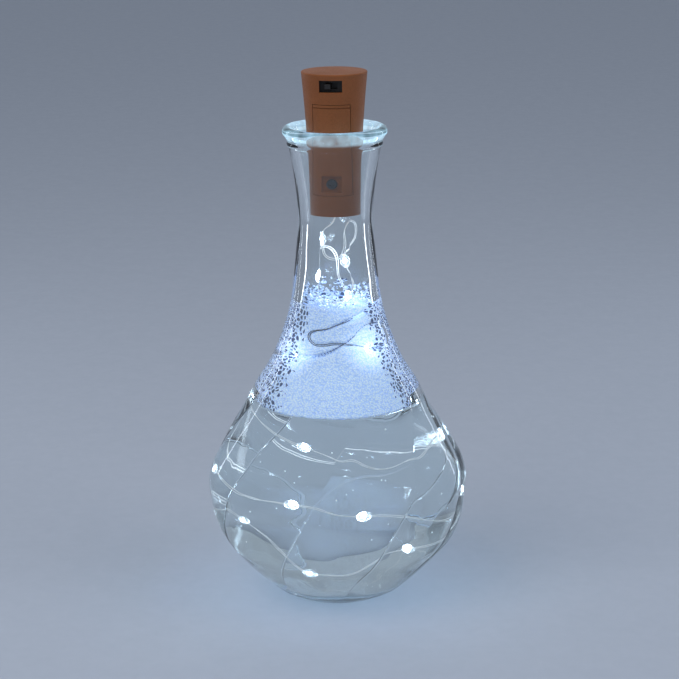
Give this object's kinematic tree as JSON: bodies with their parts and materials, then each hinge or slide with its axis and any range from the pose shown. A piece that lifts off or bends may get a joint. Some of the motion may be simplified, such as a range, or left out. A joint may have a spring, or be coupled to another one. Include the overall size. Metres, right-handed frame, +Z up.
{
  "type": "cork bottle light",
  "caption": "Swirled glass bottle with water and foam, and a cork shaped battery light in its neck whose thin wire of small lights hangs down inside.",
  "frame": {"origin": "middle of the bottle's foot ring, on the surface it stands on", "axes": "+Z up along the bottle's axis; -Y to the front, where the cork's battery door and switch are; +X to the right seen from the front"},
  "size_m": [0.0892, 0.0892, 0.181],
  "materials": {
    "clear_glass": "clear polished",
    "water": "clear liquid",
    "foam": "frothy",
    "cork_plastic": "satin",
    "dark_plastic": "matte",
    "knob_plastic": "satin",
    "screw_steel": "satin",
    "cell_steel": "satin",
    "contact_brass": "satin",
    "board_resin": "satin",
    "wire_copper": "bright drawn",
    "seal_resin": "glossy",
    "bead_resin": "clear glossy",
    "light_chip": "lit"
  },
  "bodies": {
    "bottle": {"glass_bottle": "clear_glass", "water": "water", "foam": "foam", "string_link": "wire_copper", "string_lower": "wire_copper", "light_bead_05": "bead_resin", "light_bead_06": "bead_resin", "light_bead_07": "bead_resin", "light_bead_08": "bead_resin", "light_bead_09": "bead_resin", "light_bead_10": "bead_resin", "light_bead_11": "bead_resin", "light_bead_12": "bead_resin", "light_bead_13": "bead_resin", "light_bead_14": "bead_resin", "light_bead_15": "bead_resin", "light_bead_16": "bead_resin", "light_bead_17": "bead_resin", "light_bead_18": "bead_resin", "light_bead_19": "bead_resin", "light_bead_20": "bead_resin", "light_chips_bulb": "light_chip"},
    "cork_light": {"cork_housing": "cork_plastic", "cork_top_cap": "cork_plastic", "cork_base_plug": "cork_plastic", "battery_holder": "dark_plastic", "battery_door": "cork_plastic", "door_screw": "screw_steel", "battery_cell_1": "cell_steel", "battery_cell_2": "cell_steel", "battery_cell_3": "cell_steel", "contact_spring": "contact_brass", "contact_plate": "contact_brass", "contact_strip": "contact_brass", "circuit_board": "board_resin", "driver_chip": "dark_plastic", "resistor": "dark_plastic", "switch_case": "dark_plastic", "switch_pins": "contact_brass", "lead_wire": "wire_copper", "wire_seal": "seal_resin", "string_upper": "wire_copper", "light_bead_01": "bead_resin", "light_bead_02": "bead_resin", "light_bead_03": "bead_resin", "light_bead_04": "bead_resin", "light_chips_neck": "light_chip"},
    "switch_knob": {"switch_knob": "knob_plastic"}
  },
  "joints": [
    {"name": "cork_pull", "type": "slide", "parent": "bottle", "child": "cork_light", "axis": [0, 0, 1], "range_m": [0, 0.045], "deforming": ["string_link"]},
    {"name": "switch_slide", "type": "slide", "parent": "cork_light", "child": "switch_knob", "axis": [0.9925, -0.1219, 0], "range_m": [0, 0.002]}
  ]
}
